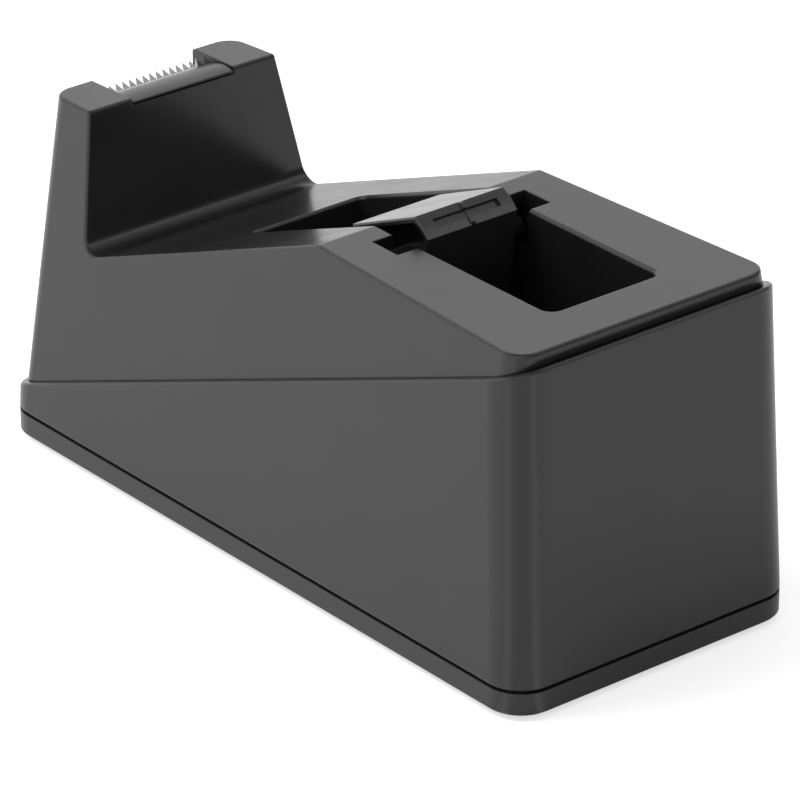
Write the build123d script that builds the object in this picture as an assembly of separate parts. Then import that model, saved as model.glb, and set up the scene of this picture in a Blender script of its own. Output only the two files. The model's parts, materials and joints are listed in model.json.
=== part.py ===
from build123d import *
import math
import os

# Desktop tape dispenser: a wedge-shaped skirt on a base plate, an upper housing
# that rises out of it with a cutter nose, and a hub that turns in the tape well.
# +X points to the tall rear end, +Z up, the XZ plane is the plane of symmetry and
# the origin is under the middle of the base. Lengths in mm, angles in degrees.
# Lengths called "_at" are measured from the nose end of the base, along X.

os.makedirs("parts", exist_ok=True)

# Base plate and feet
body_length = 146.5
body_width = 64.0
body_corner = 7.0
base_height = 4.3
base_skin = 2.2
base_rim = 2.6
foot_diameter = 12.0
foot_proud = 1.0
foot_sunk = 1.0
foot_gap = 0.1
foot_from_end = 13.0
foot_from_side = 12.0
base_edge_break = 0.4

# Lower housing: the skirt with its slanted top edge
seam_gap = 0.7
seam_depth = 0.9
skirt_wall = 1.65
skirt_side_draft = 1.4
skirt_end_draft = 2.7
ledge_front_height = 8.15
ledge_rear_drop = 0.6
ledge_break = 0.4

# Upper housing
housing_gap = 0.25
housing_wall = 2.2
housing_side_draft = 9.5
housing_front_lean = 0.5
housing_corner = 4.2
spigot_depth = 5.0
ridge_at = 85.1
ridge_height = 65.0
ridge_round = 1.6
deck_rise = 0.35
nose_drop = 0.7
nose_top_slope = 2.1
nose_rear_at = 14.1
valley_at = 17.9
valley_height = 38.6
valley_round = 5.0
nose_edge_round = 0.65
deck_round = 0.55

# Tape well
well_front_at = 49.7
well_rear_at = 131.2
well_width = 24.5
well_wall = 1.8
well_corner = 2.2
well_lip_break = 0.5

# Hub slots and hub
hub_at = 87.5
hub_drop = 7.6
hub_radius = 12.4
hub_length = 20.2
hub_arc_angle = 23.0
hub_tilt = 23.5
hub_wall = 1.0
hub_web = 1.4
hub_web_sunk = 3.6
hub_end_break = 0.3
hub_bead_width = 0.9
hub_bead_height = 0.3
hub_groove_length = 14.4
hub_groove_width = 1.7
hub_groove_depth = 0.6
hub_spigot_length = 2.0
hub_spigot_gap = 0.1
pin_diameter = 6.0
pin_gap = 0.2
pin_end_gap = 0.4
slot_mouth_at = 93.5
slot_mouth_width = 7.0
slot_mouth_depth = 4.4
slot_reach = 4.9
slot_wall = 1.7

# Cutter: blade and tape rest between the ears of the nose
ear_gap = 23.4
blade_angle = 47.0
blade_thickness = 0.5
blade_length = 6.0
blade_tip_at = 4.1
blade_tip_drop = 1.0
tooth_count = 15
tooth_height = 1.5
tooth_to_rest = 0.45
blade_side_gap = 0.2
stake_side = 2.0
stake_spacing = 13.0
stake_gap = 0.1
rest_side_gap = 0.3
rest_crest_at = 11.8
rest_crest_drop = 0.25
rest_lip_drop = 0.95
rest_seam = 0.35
rest_rear_round = 0.25
rest_pocket_below = 0.6

# Screws and ballast
boss_diameter = 7.0
boss_from_nose = 27.0
boss_from_rear = 27.0
boss_from_side = 12.0
pad_wall = 2.0
screw_diameter = 3.0
screw_length = 13.0
screw_head_diameter = 5.8
screw_head_height = 1.6
screw_head_sunk = 0.4
screw_hole_gap = 0.2
thread_gap = 0.05
ballast_end_gap = 2.9
ballast_side_gap = 3.0
ballast_top_gap = 2.5
ballast_corner = 3.0
ballast_rib_height = 3.0
ballast_rib_wall = 1.5
ballast_gap = 0.2
ballast_screw_spacing = 50.0


def at(distance):
    """X of a place measured from the nose end of the base."""
    return distance - body_length / 2


def up(height):
    """Z of a height measured from the underside of the base plate."""
    return height + foot_proud


def slope(angle):
    return math.tan(math.radians(angle))


ledge_slope = math.degrees(math.atan((ridge_height - ledge_rear_drop - ledge_front_height) / body_length))
nose_height = ridge_height - nose_drop
hub_height = ridge_height - hub_drop
plate_top = up(base_height)
skirt_foot = plate_top + seam_gap
above_all = up(ridge_height) + 20
housing_inset = skirt_wall + housing_gap


def ledge_z(x):
    return up(ledge_front_height) + slope(ledge_slope) * (x - at(0))


def across(side_view, half_width):
    """A side view, drawn as (x, z), made solid to both sides of the middle plane."""
    return extrude(Plane.XZ * side_view, half_width, both=True)


def outline(*points):
    return make_face(Polyline(*points, close=True))


def below_ledge(drop=0.0):
    far = body_length
    return across(outline((-far, -far), (far, -far), (far, ledge_z(far) - drop), (-far, ledge_z(-far) - drop)), body_width)


def four_walls(corners_at, low, high, corner_radius):
    """A block of four flat leaning walls with round uprights. corners_at(z) gives the
    (x, y) corners of a level, in order."""
    foot = [(x, y, low) for x, y in corners_at(low)]
    head = [(x, y, high) for x, y in corners_at(high)]
    walls = [[foot[i - 1], foot[i], head[i], head[i - 1]] for i in range(4)]
    block = Solid(Shell([Face(Wire.make_polygon(points)) for points in [foot, head] + walls]))
    uprights = [e for e in block.edges() if abs(e.tangent_at(0.5).Z) > 0.7]
    return fillet(uprights, corner_radius)


def drafted_block(inset, low, high):
    """The outside of the skirt, drawn in by inset, between two heights."""
    def corners(z):
        rise = z - skirt_foot
        x = body_length / 2 - inset - slope(skirt_end_draft) * rise
        y = body_width / 2 - inset - slope(skirt_side_draft) * rise
        return [(-x, -y), (x, -y), (x, y), (-x, y)]
    return four_walls(corners, low, high, body_corner - inset)


def skirt_half_width(x):
    return body_width / 2 - slope(skirt_side_draft) * (ledge_z(x) - skirt_foot)


def leaning_block(inset):
    """The four outer walls of the upper housing, drawn in by inset. Its sides lean in
    about the slanted ledge, so each level is a trapezium, narrow at the nose."""
    ledge_front_x = at(0) + slope(skirt_end_draft) * (up(ledge_front_height) - skirt_foot)

    def corners(z):
        front = ledge_front_x + housing_inset + inset - slope(housing_front_lean) * (z - up(ledge_front_height))
        rear = at(body_length) - slope(skirt_end_draft) * (z - skirt_foot) - housing_inset - inset

        def half(x):
            return skirt_half_width(x) - housing_inset - inset + slope(housing_side_draft) * (ledge_z(x) - z)
        return [(front, -half(front)), (rear, -half(rear)), (rear, half(rear)), (front, half(front))]
    return four_walls(corners, 0, above_all, housing_corner - min(inset, housing_corner / 2))


def side_profile(inset):
    """Nose, valley, front deck, ridge and rear deck, seen from the side."""
    reach = body_length

    def nose_z(x):
        return up(nose_height) + slope(nose_top_slope) * (x - at(0))

    def deck_z(x):
        return up(ridge_height) + deck_rise * (x - at(ridge_at)) / (body_length - ridge_at)
    face = outline(
        (-reach, -reach), (-reach, nose_z(-reach)), (at(nose_rear_at), nose_z(at(nose_rear_at))),
        (at(valley_at), up(valley_height)), (at(ridge_at), up(ridge_height)), (reach, deck_z(reach)), (reach, -reach))
    valley = face.vertices().sort_by_distance((at(valley_at), up(valley_height)))[0]
    face = fillet(valley, valley_round)
    ridge = face.vertices().sort_by_distance((at(ridge_at), up(ridge_height)))[0]
    face = fillet(ridge, ridge_round)
    nose_edge = face.vertices().sort_by_distance((at(nose_rear_at), nose_z(at(nose_rear_at))))[0]
    face = fillet(nose_edge, nose_edge_round)
    if inset:
        face = offset(face, -inset)
    return across(face, body_width)


def make_lower_housing():
    skirt = drafted_block(0, plate_top, above_all) & below_ledge()
    crown = skirt.faces().sort_by(Axis((0, 0, 0), (-math.sin(math.radians(ledge_slope)), 0, math.cos(math.radians(ledge_slope)))))[-1]
    skirt = chamfer(crown.edges(), ledge_break)
    skirt -= drafted_block(skirt_wall, plate_top - 1, above_all)
    seam = Pos(0, 0, plate_top) * (Rectangle(2 * body_length, 2 * body_width) - RectangleRounded(
        body_length - 2 * seam_depth, body_width - 2 * seam_depth, body_corner - seam_depth))
    return skirt - extrude(seam, seam_gap)


def spread(shape, places):
    return [Pos(x, y, 0) * shape for x, y in places]


def corner_places(from_nose, from_rear, from_side):
    side_y = body_width / 2 - from_side
    return [(x, side * side_y) for x in (at(from_nose), at(body_length - from_rear)) for side in (-1, 1)]


foot_places = corner_places(foot_from_end, foot_from_end, foot_from_side)
boss_places = corner_places(boss_from_nose, boss_from_rear, boss_from_side)
well_radius = (well_rear_at - well_front_at) / 2
well_middle = at(well_front_at) + well_radius
well_floor_centre = up(hub_height)
ballast_middle = at((boss_from_nose + body_length - boss_from_rear) / 2)
ballast_length = body_length - boss_from_nose - boss_from_rear - boss_diameter - 2 * (ballast_end_gap + ballast_rib_wall + ballast_gap)
ballast_width = body_width - 2 * (skirt_wall + ballast_side_gap + ballast_rib_wall + ballast_gap)
ballast_height = well_floor_centre - well_radius - well_wall - ballast_top_gap - plate_top
ballast_screw_places = [(ballast_middle + side * ballast_screw_spacing / 2, 0) for side in (-1, 1)]
screw_places = boss_places + ballast_screw_places
screw_seat = screw_head_height + screw_head_sunk
hub_axis = (at(hub_at), up(hub_height))
slot_mouth = (at(slot_mouth_at), up(ridge_height - slot_mouth_depth))
slot_half_span = well_width / 2 + slot_reach
pad_reach = screw_head_diameter / 2 + pad_wall


def post(diameter, low, high):
    return Pos(0, 0, low) * extrude(Circle(diameter / 2), high - low)


def well_block(inset):
    """The tape well, drawn outwards by inset: upright walls that run into a round floor."""
    radius = well_radius + inset
    half_width = well_width / 2 + inset
    upright = above_all - well_floor_centre
    side_view = Pos(well_middle, well_floor_centre) * Circle(radius)
    side_view += Pos(well_middle, well_floor_centre + upright / 2) * Rectangle(2 * radius, upright)
    plan = RectangleRounded(2 * radius, 2 * half_width, well_corner)
    return across(side_view, half_width) & Pos(well_middle, 0, 0) * extrude(plan, above_all)


def slot_outline(extra):
    """The way of the hub's pins: a mouth in the rear deck, then down and forward to
    a round seat, so that the pull of the tape holds the hub in."""
    mouth_radius = slot_mouth_width / 2 + extra
    seat_radius = pin_diameter / 2 + pin_gap / 2 + extra
    ends = Pos(*slot_mouth) * Circle(mouth_radius) + Pos(*hub_axis) * Circle(seat_radius)
    left, right = slot_mouth[0] - mouth_radius, slot_mouth[0] + mouth_radius
    mouth = outline((left, slot_mouth[1]), (right, slot_mouth[1]), (right, above_all), (left, above_all))
    return make_hull(ends.edges()) + mouth


def nose_top(distance, drop):
    """A point of the cutter's side view: distance behind the nose end, below its top."""
    return (at(distance), up(nose_height) + slope(nose_top_slope) * distance - drop)


def blade_point(along, off):
    """A point of the blade's side view: along it from the tooth tips, off its top face."""
    a = math.radians(blade_angle)
    tip = nose_top(blade_tip_at, blade_tip_drop)
    return (tip[0] + along * math.cos(a) + off * math.sin(a), tip[1] - along * math.sin(a) + off * math.cos(a))


def cutter_pocket():
    """The cut between the ears: a front lip, a ramp for the blade, a pocket, a rear wall."""
    ramp_top = blade_point(tooth_height, -blade_thickness)
    ramp_foot = blade_point(blade_length, -blade_thickness)
    floor = ramp_foot[1] - rest_pocket_below
    rear_wall = at(nose_rear_at) - housing_wall
    rear_top = nose_top(nose_rear_at, rest_lip_drop + rest_seam)[1]
    side_view = outline(
        (at(0) - 5, above_all), (at(0) - 5, ramp_top[1]), ramp_top, ramp_foot, (ramp_foot[0], floor),
        (rear_wall, floor), (rear_wall, rear_top), (at(valley_at), rear_top), (at(valley_at), above_all))
    return across(side_view, ear_gap / 2)


def crown_edges(solid):
    """The edges round the nose top, nose back and decks, but not those between them."""
    crown = [f for f in solid.faces() if abs(f.normal_at().Y) < 0.02 and f.normal_at().Z > 0.1]
    edges = [e for f in crown for e in f.edges()]
    middles = [tuple(round(v, 3) for v in e.center()) for e in edges]
    return [e for e, m in zip(edges, middles) if middles.count(m) == 1]


def mouth_edges(solid):
    """The edges where the tape well opens in the decks and the ridge."""
    decks = [f for f in solid.faces() if abs(f.normal_at().Y) < 0.02 and f.normal_at().Z > 0.1 and f.center().Z > up(valley_height)]
    reach = well_width / 2 + 0.01
    front, rear = at(well_front_at) - 0.01, at(well_rear_at) + 0.01
    return [e for f in decks for e in f.edges() if all(abs(v.Y) < reach and front < v.X < rear for v in e.vertices())
            and abs(e.center().Y) + abs(e.tangent_at(0.5).Y) > 0.5]


def make_upper_housing():
    envelope = leaning_block(0) & side_profile(0) - below_ledge()
    envelope = fillet(crown_edges(envelope), deck_round)
    floor = plate_top + housing_gap
    spigot = drafted_block(housing_inset, floor, above_all) & below_ledge() - below_ledge(spigot_depth)
    hollow = leaning_block(housing_wall) & side_profile(housing_wall) - below_ledge()
    hollow += drafted_block(housing_inset + housing_wall, floor - 1, above_all) & below_ledge()

    slot_block = across(slot_outline(slot_wall), slot_half_span + slot_wall)
    bosses = spread(post(boss_diameter, plate_top, above_all), boss_places)
    inside = well_block(well_wall) + slot_block + bosses
    inner_posts = inside & (envelope + hollow)
    cut = cutter_pocket()
    pocket_skin = cutter_skin() & envelope
    housing = envelope + spigot - hollow + inner_posts + pocket_skin
    housing -= well_block(0)
    housing = chamfer(mouth_edges(housing), well_lip_break)
    housing -= across(slot_outline(0), slot_half_span)
    housing -= cut
    pilots = spread(post(screw_diameter + thread_gap, plate_top - 1, up(base_skin) + screw_length + 1), boss_places)
    return housing - pilots


def cutter_skin():
    """The walls round the cutter's pocket, one housing wall thick."""
    pocket = cutter_pocket()
    box = pocket.bounding_box()
    low = box.min.Z - housing_wall
    view = outline((at(0), low), (at(valley_at), low), (at(valley_at), above_all), (at(0), above_all))
    return across(view, ear_gap / 2 + housing_wall)


def pad(length, width):
    return Pos(0, 0, up(base_height / 2)) * Box(length, width, base_height)


def corner_pad(foot, boss):
    """The solid corner of the base plate that holds a foot and a screw."""
    end, side = math.copysign(body_length / 2, foot[0]), math.copysign(body_width / 2, foot[1])
    inner_x = boss[0] - math.copysign(pad_reach, end)
    inner_y = foot[1] - math.copysign(foot_diameter / 2 + pad_wall, side)
    return Pos((end + inner_x) / 2, (side + inner_y) / 2, 0) * pad(abs(end - inner_x), abs(side - inner_y))


def ballast_fence():
    """Four low ribs that hold the ballast block in place."""
    long_side, short_side = ballast_length + 2 * ballast_gap, ballast_width + 2 * ballast_gap
    frame = Rectangle(long_side + 2 * ballast_rib_wall, short_side + 2 * ballast_rib_wall) - Rectangle(long_side, short_side)
    return Pos(ballast_middle, 0, plate_top) * extrude(frame, ballast_rib_height)


def make_base_plate():
    plate = Pos(0, 0, up(0)) * extrude(RectangleRounded(body_length, body_width, body_corner), base_height)
    plate = chamfer(plate.faces().sort_by(Axis.Z)[0].edges(), base_edge_break)
    recess = Pos(0, 0, up(0)) * extrude(RectangleRounded(
        body_length - 2 * base_rim, body_width - 2 * base_rim, body_corner - base_rim), base_height - base_skin)
    pads = [corner_pad(foot, boss) for foot, boss in zip(foot_places, boss_places)]
    pads += spread(pad(2 * pad_reach, 2 * pad_reach), ballast_screw_places)
    plate -= recess - pads
    plate += ballast_fence()
    plate -= spread(post(foot_diameter, up(0) - 1, up(foot_sunk)), foot_places)
    plate -= spread(post(screw_diameter + screw_hole_gap, up(0) - 1, plate_top + 1), screw_places)
    plate -= spread(post(screw_head_diameter + screw_hole_gap, up(0) - 1, up(screw_seat)), screw_places)
    return plate


def make_screw(length):
    """A screw, seated head down in the base plate."""
    head = post(screw_head_diameter, up(screw_seat) - screw_head_height, up(screw_seat))
    return head + post(screw_diameter, up(screw_seat), up(screw_seat) + length)


def make_ballast():
    plan = Rectangle(ballast_length, ballast_width)
    plan = chamfer(plan.vertices(), ballast_corner)
    block = Pos(ballast_middle, 0, plate_top) * extrude(plan, ballast_height)
    return block - spread(post(screw_diameter + thread_gap, plate_top - 1, plate_top + ballast_height + 1), ballast_screw_places)


def make_foot():
    return post(foot_diameter - 2 * foot_gap, 0, up(foot_sunk))


def make_blade():
    """A flat strip with ground triangular teeth, held on two stakes of the tape rest."""
    width = ear_gap - 2 * blade_side_gap
    pitch = width / tooth_count
    points = []
    for i in range(tooth_count):
        points += [(tooth_height, -width / 2 + i * pitch), (0, -width / 2 + (i + 0.5) * pitch)]
    points += [(tooth_height, width / 2), (blade_length, width / 2), (blade_length, -width / 2)]
    strip = outline(*points)
    hole = Rectangle(stake_side + 2 * stake_gap, stake_side + 2 * stake_gap)
    strip -= [Pos(stake_along, side * stake_spacing / 2) * hole for side in (-1, 1)]
    return blade_plane * extrude(strip, -blade_thickness)


stake_along = (tooth_height + blade_length) / 2 + 0.6
tip_x, tip_z = blade_point(0, 0)
blade_plane = Plane(origin=(tip_x, 0, tip_z), x_dir=(math.cos(math.radians(blade_angle)), 0, -math.sin(math.radians(blade_angle))),
                    z_dir=(math.sin(math.radians(blade_angle)), 0, math.cos(math.radians(blade_angle))))


def make_tape_rest():
    """The crowned insert that the tape lies on: it clamps the blade and caps the pocket."""
    front = blade_point(tooth_height + tooth_to_rest, 0)
    foot = blade_point(blade_length, 0)
    floor = blade_point(blade_length, -blade_thickness)[1] - rest_pocket_below
    wall_face = at(nose_rear_at) - housing_wall - rest_side_gap
    lip = nose_top(nose_rear_at, rest_lip_drop)[1]
    rear_slope = (at(valley_at) - at(nose_rear_at)) / (up(nose_height) - up(valley_height))
    lip_x = at(nose_rear_at) + rear_slope * rest_lip_drop
    crest = nose_top(rest_crest_at, rest_crest_drop)
    rise = crest[1] - front[1]
    crown_radius = ((crest[0] - front[0]) ** 2 + rise ** 2) / (2 * rise)
    rear_top = (lip_x, crest[1] - crown_radius + math.sqrt(crown_radius ** 2 - (lip_x - crest[0]) ** 2))
    side_view = make_face([
        ThreePointArc(front, crest, rear_top), Line(rear_top, (lip_x, lip)), Line((lip_x, lip), (wall_face, lip)),
        Line((wall_face, lip), (wall_face, floor)), Line((wall_face, floor), (foot[0], floor)),
        Line((foot[0], floor), foot), Line(foot, front)])
    corner = side_view.vertices().sort_by_distance(rear_top)[0]
    side_view = fillet(corner, rest_rear_round)
    rest = across(side_view, ear_gap / 2 - rest_side_gap)
    stake = extrude(Rectangle(stake_side, stake_side), -blade_thickness)
    return rest + [blade_plane * Pos(stake_along, side * stake_spacing / 2) * stake for side in (-1, 1)]


def hub_section(inset):
    """A round core bearer with three flats, so that it touches the core on three arcs."""
    radius = hub_radius - inset
    flat_distance = hub_radius * math.cos(math.radians((120 - hub_arc_angle) / 2)) - inset
    section = Circle(radius)
    for turn in (0, 120, 240):
        section -= Rot(0, 0, 90 + hub_tilt + turn) * Pos(flat_distance + hub_radius, 0) * Rectangle(2 * hub_radius, 2 * hub_radius)
    return section


def make_hub_half(side):
    """One half of the hub: an open shell with a sunk web, a pin and, on the far half, a
    spigot that holds the two together. side is -1 on the near half, 1 on the far half."""
    half = hub_length / 2
    barrel = extrude(hub_section(0), half)
    barrel = chamfer(barrel.faces().sort_by(Axis.Z)[-1].edges(), hub_end_break)
    shell = barrel - extrude(hub_section(hub_wall), half)
    web = Pos(0, 0, half - hub_web_sunk - hub_web) * extrude(hub_section(hub_wall), hub_web)
    pin_end = slot_half_span - pin_end_gap
    pin = Pos(0, 0, half - hub_web_sunk) * extrude(Circle(pin_diameter / 2), pin_end - half + hub_web_sunk)
    body = shell + web + pin
    body += extrude(hub_section(-hub_bead_height) - hub_section(hub_wall), hub_bead_width / 2)
    groove = Box(2 * (hub_groove_depth + hub_bead_height), hub_groove_width, hub_groove_length)
    for turn in (0, 120, 240):
        body -= Rot(0, 0, 30 + hub_tilt + turn) * Pos(hub_radius + hub_bead_height, 0, 0) * groove
    if side > 0:
        sleeve = hub_section(hub_wall + hub_spigot_gap) - hub_section(2 * hub_wall)
        body += Pos(0, 0, -hub_spigot_length) * extrude(sleeve, 2 * hub_spigot_length)
        body += extrude(hub_section(hub_wall / 2) - hub_section(2 * hub_wall), hub_spigot_length)
        body = mirror(body, about=Plane.XY)
    return Plane((hub_axis[0], 0, hub_axis[1]), x_dir=(1, 0, 0), z_dir=(0, -1, 0)) * body


parts = {
    "lower_housing": make_lower_housing(),
    "upper_housing": make_upper_housing(),
    "base_plate": make_base_plate(),
    "ballast_block": make_ballast(),
    "base_screws": Compound(spread(make_screw(screw_length), boss_places)),
    "ballast_screws": Compound(spread(make_screw(ballast_height), ballast_screw_places)),
    "cutter_blade": make_blade(),
    "tape_rest": make_tape_rest(),
    "hub_near_half": make_hub_half(-1),
    "hub_far_half": make_hub_half(1),
}
for name, place in zip(("front_near", "front_far", "rear_near", "rear_far"), foot_places):
    parts["foot_" + name] = Pos(*place, 0) * make_foot()

for name, shape in parts.items():
    export_step(shape, "parts/" + name + ".step")
    print(name, shape.is_valid, round(shape.volume, 1))
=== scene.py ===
import json
import math

import bmesh
import bpy
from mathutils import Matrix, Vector


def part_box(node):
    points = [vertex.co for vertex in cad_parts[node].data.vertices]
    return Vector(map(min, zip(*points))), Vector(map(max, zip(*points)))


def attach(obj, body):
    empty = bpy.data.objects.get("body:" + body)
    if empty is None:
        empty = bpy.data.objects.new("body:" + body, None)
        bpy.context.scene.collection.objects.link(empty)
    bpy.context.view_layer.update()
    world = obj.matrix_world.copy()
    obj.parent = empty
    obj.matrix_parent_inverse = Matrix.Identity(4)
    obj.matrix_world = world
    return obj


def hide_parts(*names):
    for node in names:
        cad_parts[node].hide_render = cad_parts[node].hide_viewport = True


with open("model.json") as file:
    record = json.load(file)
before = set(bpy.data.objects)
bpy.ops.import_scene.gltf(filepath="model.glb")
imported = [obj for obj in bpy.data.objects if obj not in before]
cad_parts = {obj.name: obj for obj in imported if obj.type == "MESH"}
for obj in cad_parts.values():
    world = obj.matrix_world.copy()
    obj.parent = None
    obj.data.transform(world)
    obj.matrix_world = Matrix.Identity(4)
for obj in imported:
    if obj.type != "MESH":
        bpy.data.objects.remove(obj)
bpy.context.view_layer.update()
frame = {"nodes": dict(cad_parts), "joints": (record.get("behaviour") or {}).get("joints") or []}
nodes = frame["nodes"]
mm = 0.001
print("frame loaded:", len(nodes), "nodes")


def newObject(name, data):
    thing = bpy.data.objects.new(name, data)
    bpy.context.scene.collection.objects.link(thing)
    return thing


# what the materials share: everything is procedural, on Object coordinates

def newMaterial(name):
    mat = bpy.data.materials.new(name)
    mat.use_nodes = True
    return mat, mat.node_tree, mat.node_tree.nodes["Principled BSDF"]


def addNode(tree, kind, inputs=None, **settings):
    node = tree.nodes.new(kind)
    for key, value in settings.items():
        setattr(node, key, value)
    for key, value in (inputs or {}).items():
        node.inputs[key].default_value = value
    return node


def objectPoint(tree, stretch=(1, 1, 1)):
    coords = addNode(tree, "ShaderNodeTexCoord")
    mapping = addNode(tree, "ShaderNodeMapping", {"Scale": stretch})
    tree.links.new(coords.outputs["Object"], mapping.inputs["Vector"])
    return mapping.outputs["Vector"]


def noiseAt(tree, point, size, detail=2.0, roughness=0.5):
    noise = addNode(tree, "ShaderNodeTexNoise", {"Scale": 1 / size, "Detail": detail, "Roughness": roughness})
    tree.links.new(point, noise.inputs["Vector"])
    return noise.outputs["Fac"]


def spreadTo(tree, value, low, high, fromLow=0.3, fromHigh=0.7):
    ends = {"From Min": fromLow, "From Max": fromHigh, "To Min": low, "To Max": high}
    ramp = addNode(tree, "ShaderNodeMapRange", ends)
    tree.links.new(value, ramp.inputs["Value"])
    return ramp.outputs["Result"]


def blendColours(tree, factor, dark, light):
    mix = addNode(tree, "ShaderNodeMix", {6: (*dark, 1), 7: (*light, 1)}, data_type="RGBA")
    tree.links.new(factor, mix.inputs[0])
    return mix.outputs[2]


def bumpFrom(tree, height, depth, before=None):
    bump = addNode(tree, "ShaderNodeBump", {"Strength": 1.0, "Distance": depth})
    tree.links.new(height, bump.inputs["Height"])
    if before is not None:
        tree.links.new(before, bump.inputs["Normal"])
    return bump.outputs["Normal"]


# moulded plastic: black, with a satin spark-eroded grain, slow flow marks and eased edges

plastics = {
    "housingPlastic": dict(grey=0.014, rough=0.24, grainSize=0.2 * mm, grainDepth=0.0030 * mm, easedEdge=0.45 * mm),
    "skirtPlastic": dict(grey=0.015, rough=0.24, grainSize=0.2 * mm, grainDepth=0.0030 * mm, easedEdge=0.7 * mm),
    "basePlastic": dict(grey=0.014, rough=0.28, grainSize=0.25 * mm, grainDepth=0.0035 * mm, easedEdge=0.25 * mm),
    "hubPlastic": dict(grey=0.020, rough=0.17, grainSize=0.3 * mm, grainDepth=0.0015 * mm, easedEdge=0.15 * mm),
    "restPlastic": dict(grey=0.034, rough=0.32, grainSize=0.3 * mm, grainDepth=0.0025 * mm, easedEdge=0.15 * mm),
}
moulding = dict(shades=(0.90, 1.12), cloudSize=14 * mm, flowSize=6 * mm, flowStretch=(0.4, 1, 1), smoother=0.02, rougher=0.03,
                refraction=1.59)


def mouldedPlastic(name, spec):
    mat, tree, shader = newMaterial(name)
    point = objectPoint(tree)
    cloud = noiseAt(tree, point, moulding["cloudSize"], detail=3)
    dark, light = [(spec["grey"] * shade,) * 3 for shade in moulding["shades"]]
    tree.links.new(blendColours(tree, spreadTo(tree, cloud, 0, 1), dark, light), shader.inputs["Base Color"])
    flow = noiseAt(tree, objectPoint(tree, moulding["flowStretch"]), moulding["flowSize"], detail=4, roughness=0.6)
    rough = spreadTo(tree, flow, spec["rough"] - moulding["smoother"], spec["rough"] + moulding["rougher"])
    tree.links.new(rough, shader.inputs["Roughness"])
    edge = addNode(tree, "ShaderNodeBevel", {"Radius": spec["easedEdge"]}, samples=4)
    grain = noiseAt(tree, point, spec["grainSize"], detail=2, roughness=0.6)
    tree.links.new(bumpFrom(tree, grain, spec["grainDepth"], edge.outputs["Normal"]), shader.inputs["Normal"])
    shader.inputs["IOR"].default_value = moulding["refraction"]
    return mat


# metals and rubber: one noise each gives the flecks, the change of gloss and the relief

steels = {
    "bladeSteel": dict(light=(0.78, 0.78, 0.79), rough=0.16, lineSize=0.12 * mm, along="Y", depth=0.002 * mm),
    "screwSteel": dict(light=(0.60, 0.60, 0.62), rough=0.28, lineSize=0.15 * mm, along="Z", depth=0.002 * mm),
}
groundLines = dict(stretch=0.05, darker=0.88, smoother=0.75, rougher=1.3)
rubberLook = dict(dark=(0.018,) * 3, light=(0.032, 0.031, 0.030), rough=(0.7, 0.9), speckSize=0.4 * mm, depth=0.02 * mm)
ironLook = dict(dark=(0.05, 0.048, 0.046), light=(0.12, 0.115, 0.11), rough=(0.5, 0.8), pitSize=1.2 * mm, depth=0.08 * mm)


def dress(tree, shader, fleck, dark, light, rough, depth, metallic=0.0):
    tree.links.new(blendColours(tree, spreadTo(tree, fleck, 0, 1), dark, light), shader.inputs["Base Color"])
    tree.links.new(spreadTo(tree, fleck, *rough), shader.inputs["Roughness"])
    tree.links.new(bumpFrom(tree, fleck, depth), shader.inputs["Normal"])
    shader.inputs["Metallic"].default_value = metallic


def lineGroundSteel(name, spec):
    # rolled or ground steel: fine lines along one direction
    mat, tree, shader = newMaterial(name)
    stretch = tuple(groundLines["stretch"] if axis == spec["along"] else 1.0 for axis in "XYZ")
    lines = noiseAt(tree, objectPoint(tree, stretch), spec["lineSize"], detail=3, roughness=0.7)
    dark = tuple(c * groundLines["darker"] for c in spec["light"])
    rough = [spec["rough"] * groundLines[key] for key in ("smoother", "rougher")]
    dress(tree, shader, lines, dark, spec["light"], rough, spec["depth"], metallic=1.0)
    return mat


def footRubber(spec):
    mat, tree, shader = newMaterial("footRubber")
    speck = noiseAt(tree, objectPoint(tree), spec["speckSize"], detail=4)
    dress(tree, shader, speck, spec["dark"], spec["light"], spec["rough"], spec["depth"])
    return mat


def castIron(spec):
    mat, tree, shader = newMaterial("castIron")
    pits = noiseAt(tree, objectPoint(tree), spec["pitSize"], detail=5, roughness=0.65)
    dress(tree, shader, pits, spec["dark"], spec["light"], spec["rough"], spec["depth"], metallic=0.6)
    return mat


plastic = {name: mouldedPlastic(name, spec) for name, spec in plastics.items()}
steel = {name: lineGroundSteel(name, spec) for name, spec in steels.items()}
rubber = footRubber(rubberLook)
iron = castIron(ironLook)
print("materials made")

finishOf = {
    "upper_housing": plastic["housingPlastic"],
    "lower_housing": plastic["skirtPlastic"],
    "base_plate": plastic["basePlastic"],
    "tape_rest": plastic["restPlastic"],
    "hub_near_half": plastic["hubPlastic"],
    "hub_far_half": plastic["hubPlastic"],
    "cutter_blade": steel["bladeSteel"],
    "base_screws": steel["screwSteel"],
    "ballast_screws": steel["screwSteel"],
    "ballast_block": iron,
}
for name, piece in nodes.items():
    piece.data.materials.clear()
    piece.data.materials.append(finishOf.get(name, rubber))
print("finishes set")


# Geometry Nodes: a small kit for building a tree and turning its result into a plain mesh

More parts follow.
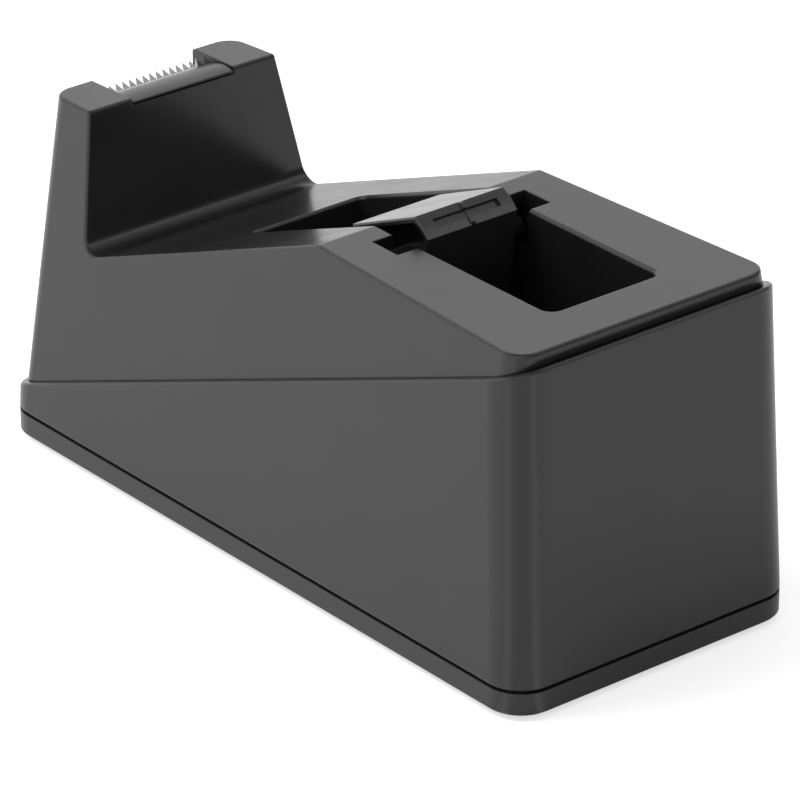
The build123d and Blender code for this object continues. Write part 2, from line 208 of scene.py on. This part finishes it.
class Maker:
    # one node tree with named inputs; wire() puts a node in and links what it is given
    kinds = {int: "NodeSocketInt", float: "NodeSocketFloat", tuple: "NodeSocketVector"}

    def __init__(self, name, inputs):
        self.tree = bpy.data.node_groups.new(name, "GeometryNodeTree")
        for label, value in inputs.items():
            kind = self.kinds.get(type(value), "NodeSocketMaterial")
            socket = self.tree.interface.new_socket(label, in_out="INPUT", socket_type=kind)
            if kind != "NodeSocketMaterial":
                socket.default_value = value
        self.tree.interface.new_socket("Geometry", in_out="OUTPUT", socket_type="NodeSocketGeometry")
        self.given = self.tree.nodes.new("NodeGroupInput").outputs
        self.values = inputs

    def wire(self, kind, inputs=None, out=0, **settings):
        node = self.tree.nodes.new(kind)
        for key, value in settings.items():
            setattr(node, key, value)
        for key, value in (inputs or {}).items():
            for item in value if isinstance(value, list) else [value]:
                if isinstance(item, bpy.types.NodeSocket):
                    self.tree.links.new(item, node.inputs[key])
                else:
                    node.inputs[key].default_value = item
        return node.outputs[out]

    def maths(self, operation, a, b=0.0):
        return self.wire("ShaderNodeMath", {0: a, 1: b}, operation=operation)

    def times(self, first, *others):
        for other in others:
            first = self.maths("MULTIPLY", first, other)
        return first

    def vector(self, x=0.0, y=0.0, z=0.0):
        return self.wire("ShaderNodeCombineXYZ", {0: x, 1: y, 2: z})

    def pointOf(self, radius):
        # each point's x, y and z, and how far out it is as a share of the radius
        place = self.wire("GeometryNodeInputPosition")
        x, y, z = [self.wire("ShaderNodeSeparateXYZ", {0: place}, out=axis) for axis in range(3)]
        reach = self.maths("SQRT", self.maths("ADD", self.times(x, x), self.times(y, y)))
        return x, y, z, self.maths("DIVIDE", reach, radius)

    def moved(self, mesh, place=(0, 0, 0), turn=(0, 0, 0), scale=(1, 1, 1)):
        return self.wire("GeometryNodeTransform", {"Geometry": mesh, "Translation": place, "Rotation": turn, "Scale": scale})

    def raised(self, mesh, height):
        return self.moved(mesh, self.vector(z=height))

    def pushed(self, mesh, offset):
        return self.wire("GeometryNodeSetPosition", {"Geometry": mesh, "Offset": offset})

    def cut(self, mesh, tools):
        return self.wire("GeometryNodeMeshBoolean", {"Mesh 1": mesh, "Mesh 2": tools}, operation="DIFFERENCE")

    def joined(self, *meshes):
        return self.wire("GeometryNodeJoinGeometry", {"Geometry": list(meshes)[::-1]})

    def lineUp(self, mesh, count, start, step):
        points = self.wire("GeometryNodeMeshLine", {"Count": count, "Start Location": start, "Offset": step})
        return self.wire("GeometryNodeInstanceOnPoints", {"Points": points, "Instance": mesh})

    def finish(self, mesh):
        real = self.wire("GeometryNodeRealizeInstances", {"Geometry": mesh})
        painted = self.wire("GeometryNodeSetMaterial", {"Geometry": real, "Material": self.given["Material"]})
        self.tree.links.new(painted, self.tree.nodes.new("NodeGroupOutput").inputs[0])
        return self


def plainMesh(name, maker, **changed):
    holder = newObject(name + "Holder", bpy.data.meshes.new(name + "Holder"))
    modifier = holder.modifiers.new("nodes", "NODES")
    modifier.node_group = maker.tree
    for item in maker.tree.interface.items_tree:
        if item.in_out == "INPUT":
            modifier[item.identifier] = changed.get(item.name.replace(" ", ""), maker.values[item.name])
    holder.update_tag()
    evaluated = holder.evaluated_get(bpy.context.evaluated_depsgraph_get())
    mesh = bpy.data.meshes.new_from_object(evaluated)
    mesh.name = name
    bpy.data.objects.remove(holder)
    return newObject(name, mesh)


# cutter blade: a flat strip with ground teeth, on the line of the CAD strip

lean = math.radians(47)
thickness = 0.5 * mm
pushedOut = 0.25 * mm
bladeLow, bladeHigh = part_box("cutter_blade")
tipX = bladeLow.x + thickness * math.sin(lean) - pushedOut * math.cos(lean)
tipZ = bladeHigh.z + pushedOut * math.sin(lean)
blade = {
    "Teeth": 15,
    "Width": bladeHigh.y - bladeLow.y,
    "Tooth Height": 1.8 * mm,
    "Strip Length": 6.25 * mm,
    "Thickness": thickness,
    "Ground Edge": 0.7,
    "Stake Side": 2.2 * mm,
    "Stake Along": 4.60 * mm,
    "Stake Spacing": 13.0 * mm,
    "Lean": (0.0, lean, 0.0),
    "Tip": (tipX, 0.0, tipZ),
    "Material": steel["bladeSteel"],
}


def bladeMaker(spec):
    m = Maker("cutterBlade", spec)
    g = m.given
    halfWidth = m.times(g["Width"], 0.5)
    halfThick = m.times(g["Thickness"], -0.5)
    pitch = m.maths("DIVIDE", g["Width"], g["Teeth"])
    # a tooth is a four-sided cone: its foot is as wide as the pitch and as deep as the strip
    cone = m.wire("GeometryNodeMeshCone", {"Vertices": 4, "Side Segments": 1, "Fill Segments": 1, "Radius Top": 0.0,
                                           "Radius Bottom": math.sqrt(0.5), "Depth": 1.0})
    square = m.moved(cone, turn=(0, 0, math.pi / 4))
    laid = m.moved(square, turn=(0, -math.pi / 2, 0))
    sized = m.moved(laid, scale=m.vector(g["Tooth Height"], pitch, g["Thickness"]))
    # the point is ground down to the underside
    alongTooth = m.wire("ShaderNodeSeparateXYZ", {0: m.wire("GeometryNodeInputPosition")})
    drop = m.times(m.maths("DIVIDE", alongTooth, g["Tooth Height"]), g["Thickness"], g["Ground Edge"], 0.5)
    tooth = m.pushed(sized, m.vector(z=drop))
    firstY = m.maths("SUBTRACT", m.times(pitch, 0.5), halfWidth)
    teeth = m.lineUp(tooth, g["Teeth"], m.vector(g["Tooth Height"], firstY, halfThick), m.vector(y=pitch))
    body = m.maths("SUBTRACT", g["Strip Length"], g["Tooth Height"])
    middle = m.times(m.maths("ADD", g["Strip Length"], g["Tooth Height"]), 0.5)
    strip = m.wire("GeometryNodeMeshCube", {"Size": m.vector(body, g["Width"], g["Thickness"])})
    strip = m.moved(strip, m.vector(middle, 0.0, halfThick))
    through = m.times(g["Thickness"], 3.0)
    hole = m.wire("GeometryNodeMeshCube", {"Size": m.vector(g["Stake Side"], g["Stake Side"], through)})
    firstStake = m.vector(g["Stake Along"], m.times(g["Stake Spacing"], -0.5), halfThick)
    stakes = m.lineUp(hole, 2, firstStake, m.vector(y=g["Stake Spacing"]))
    strip = m.cut(strip, m.wire("GeometryNodeRealizeInstances", {"Geometry": stakes}))
    return m.finish(m.moved(m.joined(strip, teeth), g["Tip"], g["Lean"]))


# screws: pan head with a cross recess and a coarse thread, head down

screw = {
    "Rows Along": 2,
    "Rows Across": 2,
    "Spacing Along": 92.5 * mm,
    "Spacing Across": 40.0 * mm,
    "Middle": (0.0, 0.0, 0.0),
    "Length": 13.0 * mm,
    "Head Diameter": 5.8 * mm,
    "Head Height": 1.6 * mm,
    "Shoulder From": 0.55,
    "Shoulder Slope": 2.2,
    "Shoulder Pull": 0.12,
    "Dome": 0.14,
    "Recess Width": 0.9 * mm,
    "Recess Length": 3.2 * mm,
    "Recess Depth": 1.0 * mm,
    "Shank Diameter": 3.0 * mm,
    "Thread Depth": 0.35 * mm,
    "Thread Pitch": 1.1 * mm,
    "Thread Starts": 0.06,
    "Threaded Share": 0.9,
    "Thread Sinks": 0.98,
    "Material": steel["screwSteel"],
}
ballastScrewSpacing = 50.0 * mm


def screwMaker(spec):
    m = Maker("crossScrew", spec)
    g = m.given
    # the head is a turned profile: flat bearing face, round shoulder, slightly domed top
    radius = m.times(g["Head Diameter"], 0.5)
    head = m.wire("GeometryNodeMeshCylinder", {"Vertices": 40, "Side Segments": 6, "Fill Segments": 5,
                                               "Radius": radius, "Depth": g["Head Height"]})
    head = m.raised(head, m.times(g["Head Height"], 0.5))
    x, y, z, far = m.pointOf(radius)
    low = m.maths("SUBTRACT", 1.0, m.maths("DIVIDE", z, g["Head Height"]))
    past = m.times(m.maths("SUBTRACT", low, g["Shoulder From"]), g["Shoulder Slope"])
    shoulder = m.maths("POWER", m.maths("MAXIMUM", past, 0.0), 2.0)
    pull = m.times(shoulder, g["Shoulder Pull"], far, -1.0)
    dome = m.times(far, far, g["Head Height"], low, g["Dome"])
    head = m.pushed(head, m.vector(m.times(x, pull), m.times(y, pull), dome))
    deep = m.times(g["Recess Depth"], 2.0)
    bars = [m.wire("GeometryNodeMeshCube", {"Size": m.vector(g["Recess " + a], g["Recess " + b], deep)})
            for a, b in (("Length", "Width"), ("Width", "Length"))]
    head = m.cut(head, bars)
    core = m.maths("SUBTRACT", m.times(g["Shank Diameter"], 0.5), g["Thread Depth"])
    shank = m.wire("GeometryNodeMeshCylinder", {"Vertices": 20, "Radius": core, "Depth": g["Length"]})
    shank = m.raised(shank, m.maths("ADD", g["Head Height"], m.times(g["Length"], 0.5)))
    threaded = m.times(g["Length"], g["Threaded Share"])
    turns = m.maths("DIVIDE", threaded, g["Thread Pitch"])
    helix = m.wire("GeometryNodeCurveSpiral", {"Resolution": 14, "Rotations": turns, "Start Radius": core, "End Radius": core,
                                               "Height": threaded})
    crest = m.times(g["Thread Depth"], g["Thread Sinks"])
    ridge = m.wire("GeometryNodeCurvePrimitiveCircle", {"Resolution": 4, "Radius": crest})
    thread = m.wire("GeometryNodeCurveToMesh", {"Curve": helix, "Profile Curve": ridge, "Fill Caps": True})
    thread = m.raised(thread, m.maths("ADD", g["Head Height"], m.times(g["Length"], g["Thread Starts"])))
    rows = m.joined(head, shank, thread)
    for way, axis in (("Across", "y"), ("Along", "x")):
        count, gap = g["Rows " + way], g["Spacing " + way]
        start = m.times(m.maths("SUBTRACT", count, 1.0), gap, -0.5)
        rows = m.lineUp(rows, count, m.vector(**{axis: start}), m.vector(**{axis: gap}))
    return m.finish(m.moved(rows, g["Middle"]))


# rubber feet: turned pads with a round lower edge and a shallow dish

footSize = {
    "Middle": (0.0, 0.0, 0.0),
    "Diameter": 11.8 * mm,
    "Height": 2.0 * mm,
    "Edge Round": 0.5 * mm,
    "Dish": 0.25 * mm,
    "Dish Reach": 0.75,
    "Dish Slope": 8.0,
    "Material": rubber,
}


def footMaker(spec):
    m = Maker("rubberFoot", spec)
    g = m.given
    radius = m.times(g["Diameter"], 0.5)
    pad = m.wire("GeometryNodeMeshCylinder", {"Vertices": 48, "Side Segments": 8, "Fill Segments": 8,
                                              "Radius": radius, "Depth": g["Height"]})
    pad = m.raised(pad, m.times(g["Height"], 0.5))
    x, y, z, far = m.pointOf(radius)
    below = m.maths("MAXIMUM", m.maths("SUBTRACT", 1.0, m.maths("DIVIDE", z, g["Edge Round"])), 0.0)
    share = m.maths("DIVIDE", g["Edge Round"], radius)
    pull = m.times(m.maths("POWER", below, 2.0), share, far, -1.0)
    inner = m.maths("MAXIMUM", m.maths("SUBTRACT", g["Dish Reach"], far), 0.0)
    sunk = m.maths("MINIMUM", m.times(inner, g["Dish Slope"]), 1.0)
    dish = m.times(sunk, g["Dish"], m.maths("MINIMUM", below, 1.0))
    pad = m.pushed(pad, m.vector(m.times(x, pull), m.times(y, pull), dish))
    return m.finish(m.moved(pad, g["Middle"]))


def middleOf(node):
    low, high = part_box(node)
    return ((low.x + high.x) / 2, (low.y + high.y) / 2, low.z)


def standIn(piece, node, body="housing"):
    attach(piece, body)
    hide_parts(node)


standIn(plainMesh("cutterBlade", bladeMaker(blade)), "cutter_blade")
crossScrew = screwMaker(screw)
standIn(plainMesh("baseScrews", crossScrew, Middle=middleOf("base_screws")), "base_screws")
ballastLow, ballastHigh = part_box("ballast_screws")
standIn(plainMesh("ballastScrews", crossScrew, Middle=middleOf("ballast_screws"), RowsAcross=1,
                  SpacingAlong=ballastScrewSpacing, Length=ballastHigh.z - ballastLow.z - screw["Head Height"]), "ballast_screws")
rubberFoot = footMaker(footSize)
for name in [n for n in nodes if n.startswith("foot_")]:
    end, side = name.title().split("_")[1:]
    standIn(plainMesh("rubberFoot" + end + side, rubberFoot, Middle=middleOf(name)), name)
print("blade, screws and feet made")


# three CAD meshes that are copied, merged and eased where the moulding differs slightly from the solid

lip = dict(frontOf=bladeLow.x - 1 * mm, halfWidth=11.8 * mm, above=bladeLow.z + 2 * mm, below=bladeLow.z + 4 * mm, fall=2.0 * mm)
valley = dict(corner=(-55.35 * mm, 39.6 * mm), noseEdge=(-59.15 * mm, 65.82 * mm), ridge=(11.85 * mm, 66.0 * mm),
              cadRadius=5.0 * mm, radius=3.0 * mm, edgeRound=0.55 * mm, inside=0.05 * mm, outside=0.1 * mm, pastEnd=0.002,
              wallsFrom=12 * mm, leanPerX=0.0549, leanPerZ=0.1673)
bead = dict(halfWidth=0.46 * mm, outside=12.6 * mm, radius=12.4 * mm, flats=(113.5, 233.5, 353.5), flatReach=48.5, slack=0.2)
mergeWithin = 0.002 * mm


def easedCopy(name, node, change):
    # change moves a merged copy's points and says which of them turn their faces flat; all others keep the CAD's own normals
    source = nodes[node].data
    work = bmesh.new()
    work.from_mesh(source)
    kept = [[(loop.vert.co.copy(), source.corner_normals[loop.index].vector.copy()) for loop in face.loops]
            for face in work.faces]
    mark = work.faces.layers.int.new("cadFace")
    for index, face in enumerate(work.faces):
        face[mark] = index
    bmesh.ops.remove_doubles(work, verts=work.verts, dist=mergeWithin)
    normals = [[min(kept[face[mark]], key=lambda pair: (pair[0] - loop.vert.co).length)[1] for loop in face.loops]
               for face in work.faces]
    turned = {point for point in work.verts if change(point.co)}
    work.normal_update()
    for index, face in enumerate(work.faces):
        if turned.intersection(face.verts):
            normals[index] = [face.normal.copy()] * len(face.loops)
    mesh = bpy.data.meshes.new(name)
    work.to_mesh(mesh)
    work.free()
    mesh.attributes.remove(mesh.attributes["cadFace"])
    mesh.shade_smooth()
    mesh.normals_split_custom_set([normal for group in normals for normal in group])
    mesh.materials.clear()
    mesh.materials.append(finishOf[node])
    return newObject(name, mesh)


def lowerLip(co):
    # the lip in front of the teeth slopes down to the front wall, so that the teeth stand free
    inLip = co.x < lip["frontOf"] and abs(co.y) < lip["halfWidth"] and lip["above"] < co.z < lip["below"]
    if inLip:
        co.z -= lip["fall"]
    return inLip


def tightenValley(co):
    # the hollow behind the nose is pulled in to a smaller round; its points keep their turn, so the normals hold
    corner = Vector(valley["corner"])
    toNose, toDeck = [(Vector(valley[end]) - corner).normalized() for end in ("noseEdge", "ridge")]
    between = (toNose + toDeck).normalized()
    halfAngle = toNose.angle(toDeck) / 2
    oldMiddle, newMiddle = [corner + between * valley[key] * (1 / math.sin(halfAngle)) for key in ("cadRadius", "radius")]
    away = Vector((co.x, co.z)) - oldMiddle
    depth = away.length - valley["cadRadius"]
    inRound = -valley["inside"] < depth < valley["edgeRound"] + valley["outside"]
    if inRound and away.angle(-between) < math.pi / 2 - halfAngle + valley["pastEnd"]:
        place = newMiddle + away.normalized() * (valley["radius"] + depth)
        if abs(co.y) > valley["wallsFrom"]:  # the side walls lean, so a point that drops also goes out
            outward = valley["leanPerX"] * (place.x - co.x) - valley["leanPerZ"] * (place.y - co.z)
            co.y += math.copysign(outward, co.y)
        co.x, co.z = place


def easeHousing(co):
    tightenValley(co)
    return lowerLip(co)


hubMiddle = Vector(frame["joints"][0]["pos_m"])


def shortenBead(co):
    # the joint bead stands up on the round bearers only and runs out at the flats
    x, z = co.x - hubMiddle.x, co.z - hubMiddle.z
    if abs(co.y) > bead["halfWidth"] or math.hypot(x, z) < bead["outside"]:
        return False
    angle = math.degrees(math.atan2(z, x)) % 360
    for flat in bead["flats"]:
        away = (angle - flat + 180) % 360 - 180
        if abs(away) < bead["flatReach"] - bead["slack"]:
            corner = math.radians(flat + math.copysign(bead["flatReach"], away))
            co.x = hubMiddle.x + bead["radius"] * math.cos(corner)
            co.z = hubMiddle.z + bead["radius"] * math.sin(corner)
            return True
    return False


standIn(easedCopy("upperHousing", "upper_housing", easeHousing), "upper_housing")
standIn(easedCopy("hubNearHalf", "hub_near_half", shortenBead), "hub_near_half", "hub")
standIn(easedCopy("hubFarHalf", "hub_far_half", shortenBead), "hub_far_half", "hub")
print("housing lip, valley and hub bead eased")


# camera: the photograph's angle

cameraSpec = dict(azimuth=50.762, elevation=26.34, focalPixels=5805.6, frameWidth=800, sensorWidth=36, distance=1.0327,
                  target=(3.33 * mm, 0, 25.25 * mm), clip=(0.05, 20))


def aimed(thing, away):
    # the thing looks against the direction given
    thing.rotation_mode = "QUATERNION"
    thing.rotation_quaternion = (-away).to_track_quat("-Z", "Y")


def makeCamera(spec):
    a, e = math.radians(spec["azimuth"]), math.radians(spec["elevation"])
    back = Vector((math.sin(a) * math.cos(e), -math.cos(a) * math.cos(e), math.sin(e)))
    data = bpy.data.cameras.new("camera")
    data.sensor_width = spec["sensorWidth"]
    data.lens = spec["focalPixels"] / spec["frameWidth"] * data.sensor_width
    data.clip_start, data.clip_end = spec["clip"]
    cam = newObject("camera", data)
    cam.location = Vector(spec["target"]) + back * spec["distance"]
    aimed(cam, back)
    bpy.context.scene.camera = cam


makeCamera(cameraSpec)


# studio: a white room, one soft lamp and a pale floor; what satin faces mirror is dim overhead and on one side of the room,
# and on the floor it changes with direction (in degrees from +X towards +Y)

studio = dict(
    ambient=0.52, room=1.10,
    ceilingFrom=46, ceilingTo=58, ceilingShare=0.25,
    dimSideFrom=34, dimSideTo=40,
    roomSides=[(-180, 1.0), (-30, 1.0), (-10, 0.12), (95, 0.12), (112, 1.0), (180, 1.0)],
    floorSize=6.0, floorGrey=0.85, floorRough=0.9, floorSeen=0.62, floorMiddle=(66 * mm, -25 * mm),
    floorGlow=[(-180, 0.30), (-100, 0.26), (-86, 0.16), (-72, 0.52), (-58, 0.02), (-14, 0.0),
               (-2, 0.50), (10, 0.08), (75, 0.08), (120, 0.28), (180, 0.30)],
)
softLamp = dict(place=(-0.7, -0.7, 1.4), size=1.2, power=16)
curveTop = 2.0  # a float curve only holds 0 to 1, so the brightness is divided by this


def byAzimuth(tree, x, y, stops):
    # brightness by compass direction
    angle = addNode(tree, "ShaderNodeMath", operation="ARCTAN2")
    tree.links.new(y, angle.inputs[0])
    tree.links.new(x, angle.inputs[1])
    turn = spreadTo(tree, angle.outputs[0], 0, 1, -math.pi, math.pi)
    curve = addNode(tree, "ShaderNodeFloatCurve")
    points = curve.mapping.curves[0].points
    first, *between, last = [((azimuth + 180) / 360, value / curveTop) for azimuth, value in stops]
    points[0].location, points[1].location = first, last
    for place in between:
        points.new(*place)
    for point in points:
        point.handle_type = "VECTOR"
    curve.mapping.update()
    tree.links.new(turn, curve.inputs["Value"])
    brightness = addNode(tree, "ShaderNodeMath", {1: curveTop}, operation="MULTIPLY")
    tree.links.new(curve.outputs[0], brightness.inputs[0])
    return brightness.outputs[0]


def chosen(tree, factor, low, high):
    # low where the factor is 0, high where it is 1; each a number or a socket
    mix = addNode(tree, "ShaderNodeMix")
    for socket, value in ((mix.inputs[0], factor), (mix.inputs[2], low), (mix.inputs[3], high)):
        if isinstance(value, float):
            socket.default_value = value
        else:
            tree.links.new(value, socket)
    return mix.outputs[0]


def makeWorld(spec):
    world = bpy.data.worlds.new("studioWorld")
    bpy.context.scene.world = world
    world.use_nodes = True
    tree = world.node_tree
    background = tree.nodes["Background"]
    background.inputs["Color"].default_value = (1, 1, 1, 1)
    rays = addNode(tree, "ShaderNodeLightPath").outputs
    direction = addNode(tree, "ShaderNodeSeparateXYZ")
    tree.links.new(addNode(tree, "ShaderNodeTexCoord").outputs["Generated"], direction.inputs[0])
    x, y, up = direction.outputs

    def byHeight(low, high, ends):
        return spreadTo(tree, up, low, high, *[math.sin(math.radians(spec[end])) for end in ends])
    room = byHeight(spec["room"], spec["room"] * spec["ceilingShare"], ("ceilingFrom", "ceilingTo"))
    aboveSide = byHeight(0, 1, ("dimSideFrom", "dimSideTo"))
    side = chosen(tree, aboveSide, byAzimuth(tree, x, y, spec["roomSides"]), 1.0)
    mirrored = chosen(tree, rays["Is Glossy Ray"], spec["ambient"], chosen(tree, side, 0.0, room))
    seen = chosen(tree, rays["Is Camera Ray"], mirrored, 1.0)
    tree.links.new(chosen(tree, rays["Is Transmission Ray"], seen, 1.0), background.inputs["Strength"])


def makeFloor(spec):
    half = spec["floorSize"] / 2
    mesh = bpy.data.meshes.new("floor")
    mesh.from_pydata([(-half, -half, 0), (half, -half, 0), (half, half, 0), (-half, half, 0)], [], [(0, 1, 2, 3)])
    floor = newObject("floor", mesh)
    mat, tree, shader = newMaterial("paleFloor")
    shader.inputs["Base Color"].default_value = (*(spec["floorGrey"],) * 3, 1)
    shader.inputs["Roughness"].default_value = spec["floorRough"]
    shader.inputs["Specular IOR Level"].default_value = 0.0
    shader.inputs["Emission Color"].default_value = (1, 1, 1, 1)
    rays = addNode(tree, "ShaderNodeLightPath").outputs
    middleX, middleY = spec["floorMiddle"]
    place = addNode(tree, "ShaderNodeMapping", {"Location": (-middleX, -middleY, 0)})
    tree.links.new(addNode(tree, "ShaderNodeTexCoord").outputs["Object"], place.inputs["Vector"])
    direction = addNode(tree, "ShaderNodeSeparateXYZ")
    tree.links.new(place.outputs[0], direction.inputs[0])
    glow = byAzimuth(tree, *direction.outputs[:2], spec["floorGlow"])
    mirrored = chosen(tree, rays["Is Glossy Ray"], 0.0, glow)
    tree.links.new(chosen(tree, rays["Is Camera Ray"], mirrored, spec["floorSeen"]), shader.inputs["Emission Strength"])
    mesh.materials.append(mat)


def makeLamp(name, spec):
    data = bpy.data.lights.new(name, "AREA")
    data.shape = "DISK"
    data.size = spec["size"]
    data.energy = spec["power"]
    lamp = newObject(name, data)
    lamp.location = spec["place"]
    aimed(lamp, Vector(spec["place"]))
    lamp.visible_glossy = False  # the room itself is what the satin surfaces mirror


makeWorld(studio)
makeFloor(studio)
makeLamp("softLamp", softLamp)
bpy.context.scene.view_settings.view_transform = "Standard"
print("studio ready")
